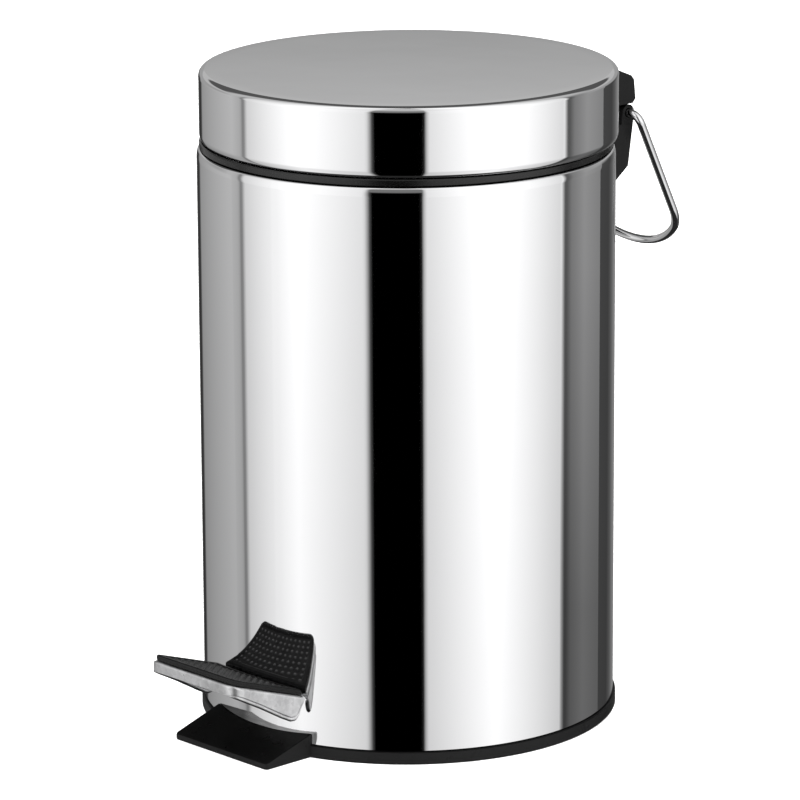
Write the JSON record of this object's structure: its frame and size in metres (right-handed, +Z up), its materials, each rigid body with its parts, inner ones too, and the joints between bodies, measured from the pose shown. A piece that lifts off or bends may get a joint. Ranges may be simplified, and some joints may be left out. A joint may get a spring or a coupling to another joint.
{
  "type": "pedal bin",
  "caption": "Small round pedal bin: polished steel body and lid, black base, rim and hinge, rubber-topped pedal, lifting linkage, inner bucket and wire carry handle.",
  "frame": {"origin": "on the bin's vertical axis, at floor level", "axes": "+Z up; +Y towards the hinge and carry handle, so the pedal is at -Y; +X across the bin"},
  "size_m": [0.17, 0.2534, 0.2644],
  "materials": {
    "polished_steel": "mirror-polished stainless steel",
    "zinc_steel": "satin zinc-plated pressed steel",
    "chrome_wire": "bright chrome-plated wire",
    "black_plastic": "fine-textured moulded black plastic",
    "bucket_plastic": "moulded black polypropylene",
    "black_rubber": "matt black rubber with a studded face"
  },
  "bodies": {
    "root": {"base_tray": "black_plastic", "body_shell": "polished_steel", "rim_ring": "black_plastic", "hinge_body_bracket": "black_plastic", "rod_guide": "black_plastic", "hinge_pin": "chrome_wire", "body_bracket_screw_left": "zinc_steel", "body_bracket_screw_right": "zinc_steel", "pedal_axle": "zinc_steel", "axle_clip_left": "zinc_steel", "axle_clip_right": "zinc_steel"},
    "lid": {"lid_shell": "polished_steel", "hinge_lid_bracket": "black_plastic", "lid_bracket_screw_left": "zinc_steel", "lid_bracket_screw_right": "zinc_steel"},
    "pedal": {"pedal_pan": "zinc_steel", "pedal_pad": "black_rubber", "pedal_lever": "zinc_steel", "lever_rivet_front": "zinc_steel", "lever_rivet_rear": "zinc_steel"},
    "rod": {"push_rod": "zinc_steel", "rod_retainer": "zinc_steel"},
    "bucket": {"inner_bucket": "bucket_plastic"},
    "bail": {"bucket_bail": "chrome_wire"},
    "handle": {"carry_handle": "chrome_wire"}
  },
  "joints": [
    {"name": "lid_open", "type": "hinge", "parent": "root", "child": "lid", "pos_m": [0, 0.0988, 0.2359], "axis": [-1, 0, 0], "range_deg": [0, 70]},
    {"name": "pedal_press", "type": "hinge", "parent": "root", "child": "pedal", "pos_m": [0, -0.06, 0.012], "axis": [1, 0, 0], "range_deg": [0, 10.75]},
    {"name": "rod_lift", "type": "slide", "parent": "root", "child": "rod", "axis": [0, 0, 1], "range_m": [0, 0.025]},
    {"name": "bucket_lift", "type": "slide", "parent": "root", "child": "bucket", "axis": [0, 0, 1], "range_m": [0, 0.005]},
    {"name": "bail_swing", "type": "hinge", "parent": "bucket", "child": "bail", "pos_m": [0, 0, 0.2348], "axis": [-1, 0, 0], "range_deg": [0, 14]},
    {"name": "handle_swing", "type": "hinge", "parent": "root", "child": "handle", "pos_m": [0, 0.0988, 0.2359], "axis": [1, 0, 0], "range_deg": [-30, 105]}
  ],
  "couplings": [
    {"joint": "pedal_press", "follows": "lid_open", "ratio": 0.15316},
    {"joint": "rod_lift", "follows": "lid_open", "m_per_rad": 0.020403}
  ]
}
